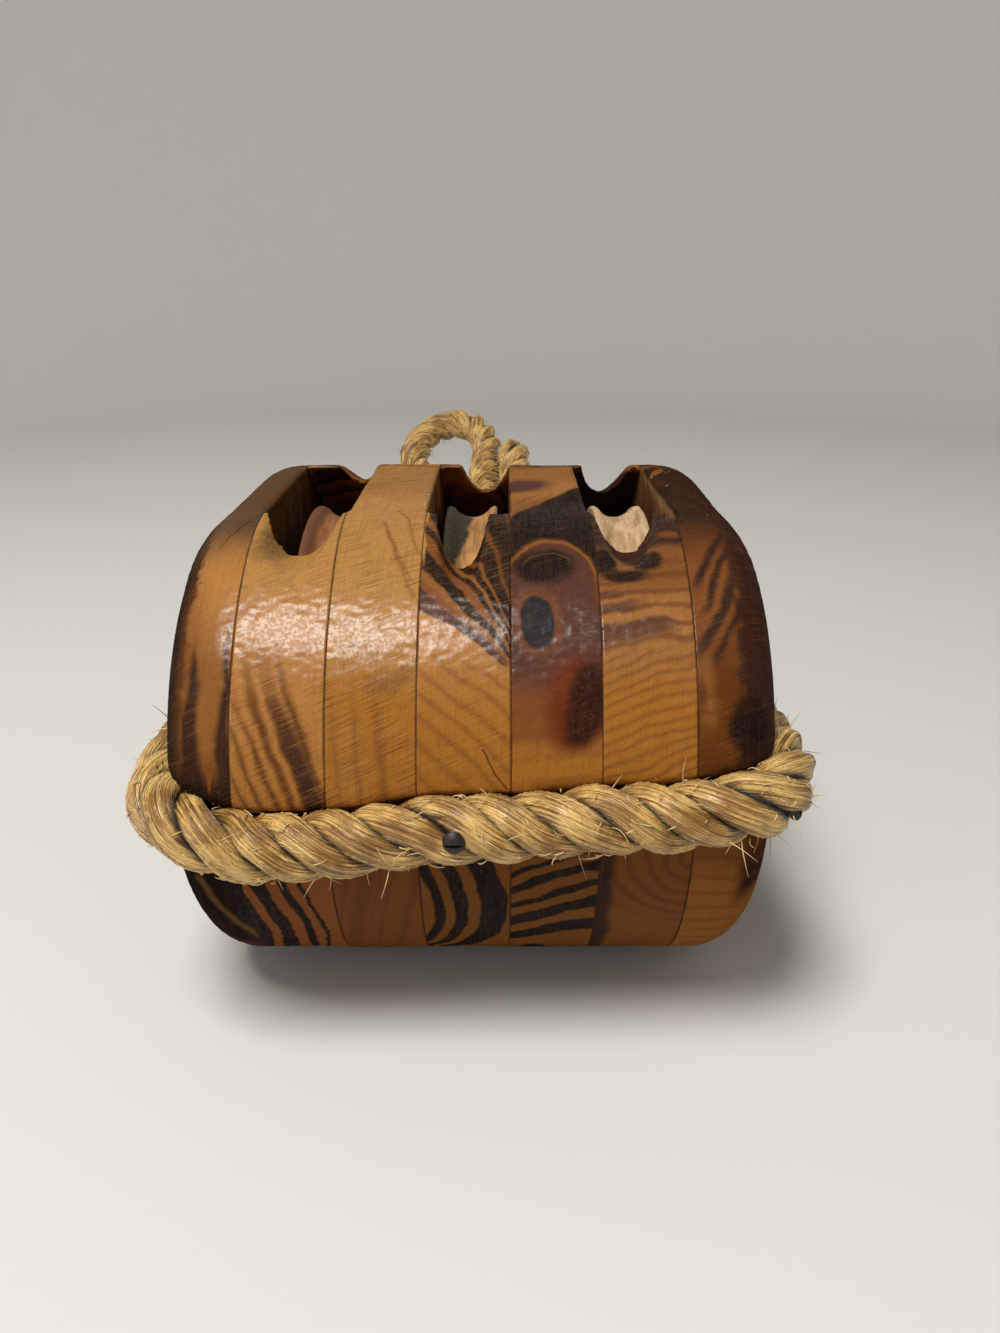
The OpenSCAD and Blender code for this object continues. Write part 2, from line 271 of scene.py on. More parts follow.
eye_points = [Vector((LEG_X, SHELL_END, ROPE_Z)) + Vector(p) * MM for p in EYE_ROUTE]
leg_y = RUN_Y + THROAT_R
eye_curve = eased([Vector((LEG_X + LEG_HALF, leg_y, ROPE_Z)), *eye_points,
                   Vector((LEG_X - LEG_HALF, leg_y, ROPE_Z))], 8)
around_tail = [*arc(BEND_LEFT, -BEND_Y, BEND_R, 180, 270), *arc(BEND_RIGHT, -BEND_Y, BEND_R, 270, 360)]
crown_right = arc(BEND_RIGHT, BEND_Y, BEND_R, 0, 90)
crown_left = arc(BEND_LEFT, BEND_Y, BEND_R, 90, 180)
strop_path = evenly(
    [*around_tail, *crown_right,
     *arc(LEG_X + LEG_HALF + THROAT_R, leg_y, THROAT_R, 270, 180),
     *eye_curve, eye_points[-1],
     *arc(LEG_X - LEG_HALF - THROAT_R, leg_y, THROAT_R, 0, -90),
     *crown_left], 0.002, True)
strop_path = sagged(softened(strop_path, 3))
strop_path = softened(evenly(strop_path, 0.0009, True), 4)
score_path = sagged(evenly([*around_tail, *crown_right, *crown_left], 0.003, True))


def frames(path, closed, first=(0, 0, 1)):
    """A line's directions, and a side direction carried along it without twist."""
    along = (np.roll(path, -1, 0) - np.roll(path, 1, 0)) if closed else np.gradient(path, axis=0)
    along /= np.linalg.norm(along, axis=1)[:, None]
    sides = np.zeros_like(path)
    side = np.array(first, float)
    for i, direction in enumerate(along):
        side = side - side.dot(direction) * direction
        side /= np.linalg.norm(side)
        sides[i] = side
    if closed:
        end = sides[-1] - sides[-1].dot(along[0]) * along[0]
        slip = math.atan2(np.cross(end, sides[0]).dot(along[0]), end.dot(sides[0]))
        turn = slip * np.arange(len(path)) / len(path)
        sides = sides * np.cos(turn)[:, None] + np.cross(along, sides) * np.sin(turn)[:, None]
    return along, sides, np.cross(along, sides)


def skin(count, sides, closed, shift=0):
    """Faces between rings of corners that follow each other. The last ring of a closed tube joins a first
    ring that lies shift corners further on."""
    ring, k = np.meshgrid(np.arange(count - 1), np.arange(sides), indexing="ij")
    here, there, after = ring * sides, (ring + 1) * sides, (k + 1) % sides
    faces = np.stack([here + k, here + after, there + after, there + k], axis=-1).reshape(-1, 4).tolist()
    last = (count - 1) * sides
    if closed:
        return faces + [(last + k, last + (k + 1) % sides, shift + (k + 1) % sides, shift + k)
                        for k in range(sides)]
    return faces + [tuple(range(sides))[::-1], tuple(last + k for k in range(sides))]


def tube(path, radius, sides, closed, first=(0, 0, 1), spread=None, tall=1):
    """Corners and faces of a tube along a line, tall times as high as it is wide. spread can vary the
    radius point by point."""
    along, side, up = frames(path, closed, first)
    turn = np.linspace(0, 2 * math.pi, sides, endpoint=False)
    wide = np.full(len(path), radius) if spread is None else radius * np.asarray(spread)
    corners = (path[:, None] + wide[:, None, None] * (np.cos(turn)[None, :, None] * side[:, None]
                                                      + tall * np.sin(turn)[None, :, None] * up[:, None]))
    return corners.reshape(-1, 3), skin(len(path), sides, closed)


# The shell is glued up from seven pine boards, 132 mm across, then sawn to a round-ended outline, its
# cheeks' outer edges rounded over, three slots cut, the lips gouged by hand and a score cut for the
# rope. It is carved here in one piece, so that the boards stay flush, and then split at the glue lines.
SHELL_LEFT, SHELL_RIGHT, CHEEK_ROUND = -0.06455, 0.06705, 0.014
END_R, FLAT_HALF = 0.0565, 0.0245
SLOT_X, SLOT_HALF, POCKET_R = (-0.0383, 0.0, 0.0383), 0.00975, 0.0628
GLUE_LINES = (-0.04805, -0.02855, -0.00975, 0.00975, 0.02855, 0.04805)
SCOOP_Y, SCOOP_TALL = 0.0422, 0.015
# For each gouged lip: its place along the pin, its depth, half its width and its outward slope in degrees
TAIL_SCOOPS = [(-0.0383, 0.0076, 0.0103, 3), (-0.0014, 0.0096, 0.0065, 3), (0.0362, 0.0070, 0.0085, 3)]
CROWN_SCOOPS = [(-0.0338, 0.0068, 0.0080, 12), (0.0030, 0.0100, 0.0080, 12), (0.0383, 0.0102, 0.0082, 12)]
SLOT_EXTRA, SCORE_EXTRA = 0.0002, 0.0004
VOXEL = 0.0008
# What the hand tools and the varnish leave on the skin: waves per metre, and their height
WAVES = ((38, 0.00035), (160, 0.00008), (780, 0.00015))


def outline(radius):
    """The shell's round-ended outline in Y and Z, for this end radius."""
    turns = np.radians(np.linspace(-90, 90, 72))
    crown = [(FLAT_HALF + radius * math.cos(a), radius * math.sin(a)) for a in turns]
    return crown + [(-y, -z) for y, z in crown]


def blank():
    """The shell before it is carved, with both cheeks' outer edges rounded."""
    curve = [(CHEEK_ROUND * (1 - math.sin(a)), CHEEK_ROUND * (1 - math.cos(a)))
             for a in np.linspace(0, math.pi / 2, 10)]
    spots = [(SHELL_LEFT + x, inset) for x, inset in curve[::-1]]
    spots += [(SHELL_RIGHT - x, inset) for x, inset in curve]
    rings = [[(x, y, z) for y, z in outline(END_R - inset)] for x, inset in spots]
    return new_piece("shell", [v for ring in rings for v in ring], skin(len(rings), len(rings[0]), False))


def rod(name, start, end, radius, sides=48, tall=1):
    """A round or oval cutter from one point to another."""
    path = np.array([start, (np.array(start) + end) / 2, end], float)
    return new_piece(name, *tube(path, radius, sides, False, (1, 0, 0.01), tall=tall))


def carve(piece, cutters):
    """Cuts every cutter out of the piece and removes it."""
    for cutter in cutters:
        cut = piece.modifiers.new(cutter.name, "BOOLEAN")
        cut.operation, cut.solver, cut.object = "DIFFERENCE", "EXACT", cutter
    settle(piece)
    for cutter in cutters:
        bpy.data.objects.remove(cutter)


def settle(piece):
    """Makes a piece's modifiers part of its mesh."""
    seen_by = bpy.context.evaluated_depsgraph_get()
    mesh = bpy.data.meshes.new_from_object(piece.evaluated_get(seen_by))
    piece.modifiers.clear()
    piece.data = mesh


def scooped(place, depth, half, slope, end, face):
    """The oval cutter of one lip, at the tail or crown end and on the upper or lower face."""
    fall = math.radians(slope)
    middle = np.array([place, end * SCOOP_Y, face * (END_R - depth + SCOOP_TALL)])
    run = np.array([0, end * math.cos(fall), -face * math.sin(fall)]) * SCOOP_Y
    return rod("scoop", middle - run, middle + run, half, tall=SCOOP_TALL / half)


shell = blank()
cutters = []
for x in SLOT_X:
    wall = SLOT_HALF + SLOT_EXTRA
    cutters.append(rod("pocket", (x - wall, 0, 0), (x + wall, 0, 0), POCKET_R, 160))
for end, lips in ((-1, TAIL_SCOOPS), (1, CROWN_SCOOPS)):
    for face in (-1, 1):
        cutters += [scooped(*lip, end, face) for lip in lips]
cutters.append(new_piece("score", *tube(score_path, ROPE_R + SCORE_EXTRA, 20, True)))
# A knife has taken a strip off the right cheek's edge along the slot's mouth
cutters.append(new_piece("pared", [
    (x, y, z) for y, x_top in ((-0.0315, 0.0502), (0.030, 0.0490))
    for x, z in ((0.0465, 0.0500), (0.0479, 0.0500), (x_top, 0.0585), (0.0465, 0.0585))],
    [(0, 1, 2, 3), (7, 6, 5, 4), (0, 4, 5, 1), (1, 5, 6, 2), (2, 6, 7, 3), (3, 7, 4, 0)], smooth=False))
carve(shell, cutters)
remesh = shell.modifiers.new("remesh", "REMESH")
remesh.mode, remesh.voxel_size = "VOXEL", VOXEL
soften = shell.modifiers.new("soften", "SMOOTH")
soften.factor, soften.iterations = 0.5, 5
settle(shell)

worked, normals = np.zeros((2, len(shell.data.vertices), 3))
shell.data.vertices.foreach_get("co", worked.ravel())
shell.data.vertices.foreach_get("normal", normals.ravel())
waves = np.array([sum(noise.noise(Vector(v) * fine) * high for fine, high in WAVES) for v in worked])
inside = np.abs(normals[:, 0]) > 0.9
worked += normals * (waves * np.where(inside, 0.2, 1))[:, None]
shell.data.vertices.foreach_set("co", worked.ravel())


def sawn(name, low, high, side):
    """The part of the shell between two glue lines, closed at both cuts. side keeps one half in Y."""
    cut = bmesh.new()
    cut.from_mesh(shell.data)
    planes = [((low, 0, 0), (-1, 0, 0)), ((high, 0, 0), (1, 0, 0))]
    if side:
        planes.append(((0, 0, 0), (0, -side, 0)))
    for place, outward in planes:
        found = bmesh.ops.bisect_plane(cut, geom=[*cut.verts, *cut.edges, *cut.faces], dist=1e-6,
                                       plane_co=place, plane_no=outward, clear_outer=True)
        edges = [e for e in found["geom_cut"] if isinstance(e, bmesh.types.BMEdge) and e.is_valid]
        if edges:
            bmesh.ops.holes_fill(cut, edges=[e for e in edges if e.is_boundary], sides=0)
    mesh = bpy.data.meshes.new(name)
    cut.to_mesh(mesh)
    cut.free()
    for polygon in mesh.polygons:
        # Only a face that closes a cut has so many corners
        polygon.use_smooth = len(polygon.vertices) <= 12
    return shown(name, mesh)


# The pine's tones, from sanded wood to charcoal
TAN, HONEY, AMBER = (0.38, 0.165, 0.042), (0.40, 0.195, 0.054), (0.32, 0.122, 0.016)
DUSKY, RUSSET, BROWN = (0.22, 0.085, 0.020), (0.18, 0.058, 0.014), (0.11, 0.036, 0.010)
OLIVE, PLUM = (0.12, 0.068, 0.026), (0.075, 0.028, 0.020)
BURNT, CHAR = (0.028, 0.012, 0.008), (0.009, 0.006, 0.005)


class Plank(Finish):
    """The finish of one board: pine, burnt with a torch, sanded and varnished. x is millimetres along the
    pin and s millimetres over the skin, from the pin's height on the tail up over the top or, below zero,
    under the belly. depth is millimetres below the skin. px and ps are x and s, straying as wood does."""

    def __init__(self, name, low, high):
        super().__init__(name)
        self.at = self.node("TexCoord", out=3)
        self.x, self.y, z = (self.node("SeparateXYZ", None, {0: self.at}, out=k) * 1000 for k in range(3))
        end_r, flat = END_R * 1000, FLAT_HALF * 1000
        outward = (-self.y - flat).math("MAXIMUM", 0)
        over_top = z.math("SIGN") * (self.y + flat).math("MAXIMUM", 0).math("MINIMUM", 2 * flat)
        self.s = z.math("ARCTAN2", outward) * end_r + over_top
        self.depth = end_r - self.length((abs(self.y) - flat).math("MAXIMUM", 0), z)
        self.low, self.high = low * 1000, high * 1000
        seed = (low, high * 3, 0.1)
        self.stray = self.grain(self.vector("ADD", self.at, seed), 75, 4, 0.6) - 0.5
        self.drift = self.grain(self.vector("ADD", self.at, (0.2, *seed[:2])), 60, 3, 0.55) - 0.5
        self.px, self.ps = self.x + self.stray * 4, self.s + self.drift * 6
        self.under = self.ramp(self.s, 3, -3)
        self.height, self.matt = 0, 0

    def length(self, across, up):
        """A line's length, from how far it goes across and up."""
        return self.vector("LENGTH", self.node("CombineXYZ", None, {0: across, 1: up}), out=1)

    def paint(self, mask, colour):
        self.colour = self.mixed(mask, self.colour, colour)

    def up(self, start, end):
        """The rise from 0 to 1 between two heights on the skin."""
        return self.ramp(self.ps, start, end)

    def strip(self, place, middle, half, soft):
        """1 within half of the middle, and 0 beyond."""
        return self.ramp(-abs(place - middle) + half, -soft, soft)

    def away(self, x, s, wide=1, tall=1, tilt=0):
        """Distance from a spot on the skin, in units of an oval's half width and height. tilt leans the
        oval to the right, in degrees."""
        c, d = math.cos(math.radians(tilt)), math.sin(math.radians(tilt))
        dx, ds = self.px - x, self.ps - s
        return self.length((dx * c - ds * d) / wide, (ds * c + dx * d) / tall)

    def spot(self, x, s, wide, tall, tilt, soft):
        return self.ramp(self.away(x, s, wide, tall, tilt), 1 + soft, 1 - soft)

    def stroke(self, x0, s0, x1, s1, half, soft):
        """1 along a straight line from one spot to another."""
        long = math.hypot(x1 - x0, s1 - s0)
        ux, us = (x1 - x0) / long, (s1 - s0) / long
        dx, ds = self.px - x0, self.ps - s0
        past = abs(dx * ux + ds * us - long / 2) - (long / 2)
        gap = self.length(past.math("MAXIMUM", 0), dx * us - ds * ux)
        return self.ramp(gap, half + soft, half - soft)

    def stripes(self, field, period, share, soft=0.25):
        """Dark lines a period apart, each taking this share of it."""
        wave = abs((field / period).math("FRACT") - 0.5) * 2
        return self.ramp(wave, 1 - share - soft, 1 - share + soft)

    def streaks(self, angle, wide, long):
        """Noise drawn out along the skin at an angle up from the pin's direction."""
        c, d = math.cos(math.radians(angle)), math.sin(math.radians(angle))
        at = self.node("CombineXYZ", None,
                       {0: (self.x * c + self.s * d) / long, 1: (self.s * c - self.x * d) / wide})
        return self.node("TexNoise", {"noise_dimensions": "2D"}, {"Vector": at, "Scale": 1.0, "Detail": 3})

    def year_rings(self, pith, tilt, year, charring):
        """The burnt grain of the board as sawn from its trunk, wherever nothing else is painted over it.
        pith is a spot on the heart of the tree, tilt turns the trunk and year is one year's growth."""
        placed = self.node("Mapping", {"vector_type": "TEXTURE"},
                           {"Vector": self.at, "Location": pith, "Rotation": tilt})
        from_pith = self.vector("LENGTH", self.vector("MULTIPLY", placed, (1, 1, 0.12)), out=1)
        years = from_pith / year + self.drift * 2.4
        late = years.math("FRACT")
        late = (late ** 2.2) * self.ramp(late, 1.0, 0.88)
        age = self.node("TexWhiteNoise", {"noise_dimensions": "1D"}, {"W": years.math("FLOOR")})
        late = late * (0.5 + 0.9 * age)
        fire = self.grain(self.at, 26, 3, 0.55)
        burnt = self.ramp(fire + late * 0.3, charring, charring + 0.2)
        colour = self.mixed(late * 1.4, self.mixed(self.drift + 0.5, AMBER, TAN), BROWN)
        colour = self.mixed(burnt * 0.8, colour, PLUM)
        return self.mixed(burnt * late * 1.6, colour, CHAR)

    def varnished(self, ground, sanding, wall=BROWN, scoop=None, wall_from=None, pared=0.9):
        """Lays the painted tail over the board's own grain, darkens the glue lines, the gouged lips and the
        slot's walls, adds fibres and sanding scratches, and varnishes the lot. The slot's walls and lips
        lie all over the board, or only within pared millimetres of wall_from."""
        reach = self.ramp(self.s, -10, 10) * 42 - 8
        tail = self.ramp(self.y + self.drift * 12 - reach, 0, -12) * self.ramp(self.depth, 16, 12)
        colour = self.mixed(tail, ground, self.colour)
        cut = self.ramp(self.depth + self.stray * 2, 1.0, 2.6)
        deep = self.ramp(self.depth, 9.5, 15)
        if wall_from is not None:
            inner = self.ramp(abs(self.x - wall_from), pared, pared - 0.5)
            cut, deep = cut * inner, self.ramp(self.depth, 1, 4) * inner
        fibre = self.grain(self.at, (1500, 60, 1500))
        lines = self.streaks(88, 0.35, 14)
        if scoop:
            colour = self.mixed(cut, colour, self.mixed(lines, scoop, BURNT))
        colour = self.mixed(deep * 0.85, colour, self.mixed(lines, wall, CHAR))
        edge = (self.x - self.low).math("MINIMUM", self.high - self.x) + self.stray * 0.5
        colour = self.mixed(self.ramp(edge, 0.26, 0.06) * 0.85, colour, BURNT)
        colour = self.mixed(self.ramp(lines, 0.45, 0.75) * 0.22, colour, BROWN)
        colour = self.mixed(self.ramp(fibre, 0.5, 0.8) * 0.25, colour, BROWN)
        height = fibre * 0.5 + lines * 0.6 - self.ramp(edge, 0.4, 0.1) * 0.8
        scratches = self.streaks(24, 0.16, 9)
        sanded = sanding * tail * (1 - self.under)
        colour = self.mixed(self.ramp(scratches, 0.56, 0.74) * sanded * 0.8, colour, HONEY)
        colour = self.mixed(self.ramp(scratches, 0.44, 0.3) * sanded * 0.85, colour, BROWN)
        height = height + scratches * 0.8 * sanding
        pimples = self.grain(self.at, 1300, 2)
        bump = self.node("Bump", None, {"Strength": 0.5, "Distance": 0.00028,
                                        "Height": height + pimples - self.height})
        varnish = 0.14 + 0.42 * self.ramp(self.s, 8, 26) * self.ramp(self.s, 100, 66)
        varnish = varnish * (1 - 0.85 * self.matt) * (1 - 0.8 * cut)
        varnish = varnish * (0.45 + 0.6 * self.ramp(pimples + (fibre - 0.5) * 0.4, 0.42, 0.60))
        return self.surface(colour, 0.5 + 0.2 * fibre, Normal=bump, **{
            "Coat Weight": varnish, "Coat Roughness": 0.24, "Coat IOR": 1.48,
            "Specular IOR Level": 0.0})


def left_cheek_finish(w):
    """Tan beside the glue line, burnt black round the outer edge, two dark streaks that run down into the
    black above the rope, and nearly all black below it. The black next to the rope is partly char and
    partly painted shade, in the rope's score above it and under the rope below it."""
    w.colour = w.mixed(w.up(58, 78), w.mixed(w.up(56, 34), TAN, DUSKY), (0.075, 0.040, 0.017))
    w.matt = w.ramp(w.px, -56, -59.5).math("MAXIMUM", w.ramp(w.s, 36, 26) * w.ramp(w.px, -48, -53))
    w.paint(w.stripes(w.px - 0.16 * w.ps, 5.5, 0.3) * w.up(66, 86) * 0.7, BROWN)
    blotch = w.grain(w.at, 420, 3)
    w.paint(w.ramp(w.px + (blotch - 0.5) * 5, -57.0, -59.6) * w.up(100, 60), BURNT)
    w.paint(w.ramp(w.px, -60.5, -62.5), CHAR)
    w.paint(w.strip(w.px, -57.5, 2.2, 2.0) * w.ramp(w.s, 64, 50) * 0.5, RUSSET)
    w.paint(w.strip(w.px, -56.4, (47 - w.s) * 0.078, 0.9) * w.ramp(w.s, 46, 36), BURNT)
    w.paint(w.strip(w.px, -49.3, (50 - w.s) * 0.045, 0.8) * w.ramp(w.s, 52, 38), BURNT)
    # Near-black band just above the rope: partly char, partly painted shade in the rope's score
    w.paint(w.up(19, 12) * 0.6, BURNT)
    w.paint(w.up(14.5, 10), CHAR)
    w.paint(w.strip(w.px, -52.6, (w.s - 8) * 0.09, 0.3) * w.ramp(w.s, 9, 11) * w.ramp(w.s, 17, 13), RUSSET)
    crack = w.stroke(-54.5, 68, -49, 81, 0.12, 0.14)
    w.paint(crack, CHAR)
    # Black below the rope: partly char, partly painted shade under the rope
    w.paint(w.under, CHAR)
    w.paint(w.stroke(-57.5, -13, -48.0, -36, 1.0, 0.9) * 0.7, OLIVE)
    w.paint(w.under * w.up(-36, -46) * 0.6, PLUM)
    w.height = crack * 2
    return w.varnished(w.year_rings((-0.10, -0.03, 0.02), (0.1, 1.2, 0), 0.0042, 0.42), 0.22,
                       wall=(0.26, 0.14, 0.055), scoop=OLIVE, wall_from=w.high)


def left_slot_finish(w):
    """Plain tan at the top, then dark streaks that lean to the left as they rise, and below the rope four
    broad dark bands that bow to the right."""
    w.colour = w.mixed(w.up(36, 60), TAN, HONEY)
    w.paint(w.up(30, 8) * 0.5, AMBER)
    # Olive patch on the left flank of the gouged lip: painted shade
    w.paint(w.spot(-43, 72, 3.5, 9, 20, 0.4) * 0.6, OLIVE)
    leaning = w.px + 0.33 * (w.ps - 10)
    for middle, half, top in ((-46.6, 0.35, 22), (-43.4, 0.5, 30), (-40.0, 0.7, 30), (-36.6, 0.95, 38),
                              (-32.6, 1.5, 36), (-29.4, 0.7, 40)):
        w.paint(w.strip(leaning, middle, half, 0.8) * w.up(top + 8, top - 14), BROWN)
    w.paint(w.strip(leaning, -31.7, 1.9, 1.0) * w.up(36, 14), BURNT)
    bowed = w.px + 0.008 * (w.ps + 33) * (w.ps + 33)
    # Darker base below the rope: partly the wood's tone, partly painted shade under the rope
    w.paint(w.under, RUSSET)
    for middle, half in ((-47.6, 2.4), (-41.3, 1.8), (-35.8, 1.0), (-32.4, 0.45)):
        w.paint(w.strip(bowed, middle, half, 0.35) * w.under, CHAR)
    return w.varnished(w.year_rings((-0.09, -0.02, -0.06), (0.4, 0.3, 0), 0.0050, 0.46), 0.8)


def left_partition_finish(w):
    """The palest board: honey with soft brown shades, two faint fans of lines, and sanding scratches."""
    w.colour = w.mixed(w.up(26, 50), AMBER, HONEY)
    w.paint(w.strip(w.px, -23.5, 3, 3) * w.up(30, 20) * 0.4, TAN)
    for faint in ((-20, 79, -11.5, 53, 0.35), (-18.5, 74, -12, 58, 0.25), (-16, 86, -10.6, 66, 0.3)):
        w.paint(w.stroke(*faint, 0.6) * 0.55, BROWN)
    for middle, half, lean in ((-17.4, 0.9, 0.08), (-22.2, 0.4, 0.05), (-26.6, 0.3, 0.1)):
        w.paint(w.strip(w.px + lean * (w.ps - 20), middle, half, 1.0) * w.up(34, 22) * 0.5, BROWN)
    w.paint(w.spot(-15, 33.5, 5, 2.2, -25, 0.6) * 0.45, OLIVE)
    w.paint(w.up(92, 112) * 0.35, OLIVE)
    # Pale specks along the slot's rim: painted highlights, glints on beads of varnish
    painted_glint_specks = w.stroke(-10.5, 90, -10.3, 112, 0.5, 0.3) * w.ramp(w.grain(w.at, 1400, 1), 0.60, 0.67)
    w.paint(painted_glint_specks, (0.8, 0.76, 0.66))
    crack = w.stroke(-27.5, 115, -14, 123, 0.18, 0.2)
    w.paint(crack, BURNT)
    # Darker base below the rope: partly the wood's tone, partly painted shade under the rope
    w.paint(w.under, (0.14, 0.048, 0.010))
    fallen = w.px - 0.18 * (w.ps + 20)
    for middle, half in ((-23.2, 1.6), (-27.0, 0.4), (-17.8, 0.35), (-12.4, 0.9), (-20.2, 0.25)):
        w.paint(w.strip(fallen, middle, half, 0.6) * w.under * 0.8, BROWN)
    w.height = crack * 2
    return w.varnished(w.year_rings((-0.05, 0.0, -0.12), (0.2, 0.1, 0), 0.0065, 0.62), 1.0,
                       wall=(0.24, 0.12, 0.05))


def centre_slot_finish(w):
    """A fan of black and tan bands spreads up from the right glue line, over golden wood with brown arcs.
    Below the rope, dark arcs stand side by side."""
    w.colour = w.mixed(w.up(20, 44), AMBER, TAN)
    slanted = w.px * 0.67 + w.ps * 0.74 + 0.006 * (w.ps - 20) * (w.ps - 20)
    w.paint(w.stripes(slanted, 4.3, 0.3, 0.3) * w.up(42, 34) * 0.38, BROWN)
    fan = ((w.ps - 33).math("ARCTAN2", 14 - w.px)) * (180 / math.pi)
    spread = w.ramp(w.ps - w.px * 0.75, 26, 34)
    for start, tone in ((36, PLUM), (44, RUSSET), (46.5, DUSKY), (49.8, CHAR), (55.6, RUSSET),
                        (60.0, CHAR), (62.8, DUSKY), (64.8, CHAR), (68.2, RUSSET), (70.0, CHAR),
                        (76.0, BROWN), (77.6, CHAR), (84, BROWN), (85.6, CHAR)):
        w.paint(w.ramp(fan, start - 0.7, start + 0.7) * spread, tone)
    w.paint(w.ramp(w.px, -8.3, -9.0) * w.up(60, 66) * w.up(96, 88), HONEY)
    crack = w.stroke(4.5, 18, 9.5, 10, 0.15, 0.2)
    w.paint(crack, BURNT)
    arcs = w.px + 0.016 * (w.ps + 22) * (w.ps + 22)
    # Darker base below the rope: partly the wood's tone, partly painted shade under the rope
    w.paint(w.under, (0.14, 0.050, 0.010))
    for middle, half in ((-5.6, 1.3), (-0.6, 1.5), (6.4, 2.9)):
        w.paint(w.strip(arcs, middle, half, 0.35) * w.under, CHAR)
    w.paint(w.strip(arcs, -9.6, 0.4, 0.4) * w.under * 0.7, BROWN)
    w.height = crack * 2
    return w.varnished(w.year_rings((0.04, -0.04, -0.05), (0.2, 0.6, 0), 0.0060, 0.42), 0.5)


def right_partition_finish(w):
    """A blue-black knot in purple-brown wood under a charred arch, a dark red scorch at the lower right,
    and plain amber above the rope. Below it, black stripes rise to the right."""
    w.colour = w.mixed(w.up(27, 36), w.mixed(w.up(16, 24), AMBER, RUSSET), PLUM)
    w.paint(w.up(34, 26) * w.stripes(w.ps - 0.1 * w.px, 5.2, 0.3) * 0.25, BROWN)
    arch = w.away(18.6, 55, 9.6, 14.5)
    w.paint(w.up(54, 58), CHAR)
    w.paint(w.ramp(arch, 1.12, 1.0) * w.up(50, 54), PLUM)
    w.paint(w.strip(arch, 1.0, 0.075, 0.05) * w.up(46, 54), BROWN)
    w.paint(w.strip(arch, 1.0, 0.03, 0.04) * w.up(56, 62), DUSKY)
    w.paint(w.spot(17.0, 60.8, 6.3, 5.2, 0, 0.25), CHAR)
    w.paint(w.strip(w.away(17.5, 60.5, 5.0, 4.0), 1.0, 0.06, 0.06) * w.up(60, 63) * 0.5, OLIVE)
    w.paint(w.spot(15.6, 46.2, 5.2, 8.0, -8, 0.3) * 0.6, RUSSET)
    w.matt = w.spot(15.6, 45.8, 3.7, 6.3, -8, 0.12)
    w.paint(w.matt, (0.016, 0.021, 0.026))
    w.paint(w.spot(23.2, 29.0, 6.2, 9.6, 10, 0.35), (0.12, 0.020, 0.004))
    w.paint(w.spot(25.2, 28.5, 4.2, 9.0, 12, 0.3), (0.022, 0.005, 0.003))
    tan_top = w.ps - 80 - (w.px - 10) * 1.9
    w.paint(w.ramp(tan_top, -1.5, 2.5), w.mixed(w.up(92, 108), DUSKY, (0.30, 0.13, 0.036)))
    lines = w.stripes(w.ps - 1.9 * w.px, 6.5, 0.25)
    w.paint(w.up(108, 100) * w.strip(tan_top, 8, 6, 4) * lines * 0.5, BROWN)
    w.paint(w.spot(13, 114, 7, 9, 30, 0.4), PLUM)
    w.paint(w.up(117, 124) * 0.6, DUSKY)
    slope = w.ps - 0.42 * (w.px - 10)
    # Darker base below the rope: partly the wood's tone, partly painted shade under the rope
    w.paint(w.under, (0.14, 0.050, 0.010))
    for middle, half in ((-14.6, 1.3), (-19.9, 1.1), (-26.2, 2.1), (-34.6, 2.6), (-10.0, 0.9)):
        w.paint(w.strip(slope, middle, half, 0.4) * w.under, CHAR)
    w.paint(w.up(-42, -46) * w.under, BROWN)
    w.paint(w.spot(15.5, -51, 3.5, 7.5, 0, 0.2), CHAR)
    return w.varnished(w.year_rings((0.02, -0.04, 0.03), (1.4, 0.1, 0), 0.0050, 0.36), 0.15)


def right_slot_finish(w):
    """Two small dark knots beside the lip, wavy brown bands under them and fine rings lower down. Below
    the rope, brown arcs give way to plain wood."""
    lower = w.mixed(w.up(26, 40), AMBER, (0.29, 0.118, 0.028))
    w.colour = w.mixed(w.up(50, 58), lower, (0.18, 0.068, 0.016))
    fine = w.ps - 0.35 * (w.px - 38)
    w.paint(w.stripes(fine, 2.35, 0.35, 0.35) * w.up(41, 37) * 0.42, BROWN)
    wavy = w.ps - 0.12 * (w.px - 38) + w.stray * 5
    w.paint(w.stripes(wavy, 4.1, 0.35, 0.25) * w.up(36, 41) * w.up(66, 60) * 0.7, BROWN)
    for middle, half, reach in ((43.8, 2.0, 44), (50.0, 1.4, 37), (54.0, 1.0, 34)):
        w.paint(w.strip(wavy, middle, half, 0.9) * w.ramp(w.px, reach + 3, reach - 4) * 0.85, PLUM)
    for knot in ((30.4, 63.5, 3.0, 4.2, 0, 0.35), (39.8, 63.0, 3.4, 3.4, 20, 0.3),
                 (34.5, 58.8, 4.6, 1.9, 0, 0.35)):
        w.paint(w.spot(*knot), CHAR)
    w.paint(w.spot(34.8, 63.0, 1.5, 2.4, 0, 0.5), DUSKY)
    w.paint(w.up(66, 70), BURNT)
    w.paint(w.spot(45.4, 72.5, 2.2, 1.6, 0, 0.7) * 0.8, RUSSET)
    ring = w.away(49, -5)
    # Darker base below the rope: partly the wood's tone, partly painted shade under the rope
    w.paint(w.under, (0.15, 0.052, 0.010))
    w.paint(w.stripes(ring, 3.6, 0.4, 0.25) * w.ramp(ring, 25, 18) * w.under * 0.85, BROWN)
    w.paint(w.ramp(w.px, 33.0, 30.5) * w.under, BURNT)
    w.paint(w.spot(38, -46, 5, 9, 0, 0.5) * 0.6, BROWN)
    return w.varnished(w.year_rings((0.04, -0.04, 0.09), (0.1, 1.4, 0), 0.0042, 0.44), 0.25, scoop=BURNT)


